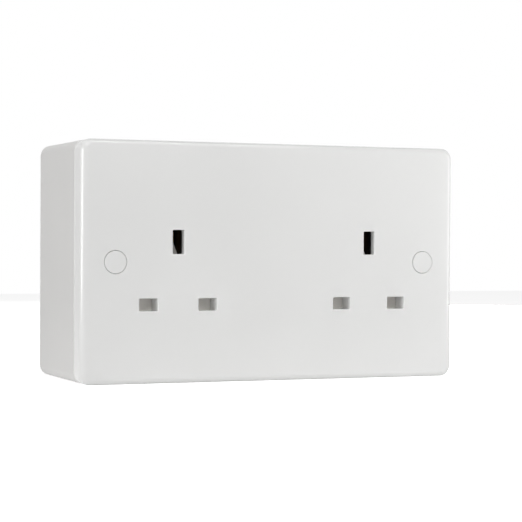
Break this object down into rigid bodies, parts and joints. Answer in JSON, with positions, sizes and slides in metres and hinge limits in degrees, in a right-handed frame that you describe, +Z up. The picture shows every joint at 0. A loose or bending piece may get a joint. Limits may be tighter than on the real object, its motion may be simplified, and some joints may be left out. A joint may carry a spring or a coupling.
{
  "type": "twin socket outlet",
  "caption": "White moulded British twin socket outlet on a deep surface box, with sprung shutters behind its pin slots and capped fixing screws.",
  "frame": {"origin": "centre of the box's flat wall face", "axes": "+X to the right seen from the front, +Y into the wall (the slots face -Y), +Z up"},
  "size_m": [0.146, 0.053, 0.086],
  "materials": {
    "white_moulding": "glossy white moulding",
    "box_moulding": "glossy white moulding",
    "shutter_moulding": "satin pale grey moulding",
    "black_moulding": "satin black moulding",
    "brass": "pressed and drawn brass",
    "zinc_steel": "bright zinc plated steel",
    "spring_steel": "drawn spring wire"
  },
  "bodies": {
    "outlet": {"front_plate": "white_moulding", "surface_box": "box_moulding", "shutter_spring_left": "spring_steel", "shutter_spring_right": "spring_steel", "rear_housing": "black_moulding", "housing_screws": "zinc_steel", "plate_screw_left": "zinc_steel", "plate_screw_right": "zinc_steel", "box_insert_left": "brass", "box_insert_right": "brass", "live_strip": "brass", "neutral_strip": "brass", "earth_strip": "brass", "terminal_live": "brass", "terminal_neutral": "brass", "terminal_earth_left": "brass", "terminal_earth_right": "brass"},
    "left_cap": {"screw_cap_left": "white_moulding"},
    "right_cap": {"screw_cap_right": "white_moulding"},
    "left_shutter": {"shutter_left": "shutter_moulding"},
    "right_shutter": {"shutter_right": "shutter_moulding"},
    "live_clamp": {"terminal_screw_live": "zinc_steel"},
    "neutral_clamp": {"terminal_screw_neutral": "zinc_steel"},
    "left_earth_clamp": {"terminal_screw_earth_left": "zinc_steel"},
    "right_earth_clamp": {"terminal_screw_earth_right": "zinc_steel"}
  },
  "joints": [
    {"name": "left_shutter_slide", "type": "slide", "parent": "outlet", "child": "left_shutter", "axis": [0, 0, -1], "range_m": [0, 0.00525], "stiffness_N_per_m": 200, "springref_m": -0.004, "deforming": ["shutter_spring_left"]},
    {"name": "right_shutter_slide", "type": "slide", "parent": "outlet", "child": "right_shutter", "axis": [0, 0, -1], "range_m": [0, 0.00525], "stiffness_N_per_m": 200, "springref_m": -0.004, "deforming": ["shutter_spring_right"]},
    {"name": "left_cap_pull", "type": "slide", "parent": "outlet", "child": "left_cap", "axis": [0, -1, 0], "range_m": [0, 0.012]},
    {"name": "right_cap_pull", "type": "slide", "parent": "outlet", "child": "right_cap", "axis": [0, -1, 0], "range_m": [0, 0.012]},
    {"name": "live_screw_drive", "type": "slide", "parent": "outlet", "child": "live_clamp", "axis": [0, -1, 0], "range_m": [0, 0.0024]},
    {"name": "neutral_screw_drive", "type": "slide", "parent": "outlet", "child": "neutral_clamp", "axis": [0, -1, 0], "range_m": [0, 0.0024]},
    {"name": "left_earth_screw_drive", "type": "slide", "parent": "outlet", "child": "left_earth_clamp", "axis": [0, -1, 0], "range_m": [0, 0.0024]},
    {"name": "right_earth_screw_drive", "type": "slide", "parent": "outlet", "child": "right_earth_clamp", "axis": [0, -1, 0], "range_m": [0, 0.0024]}
  ]
}
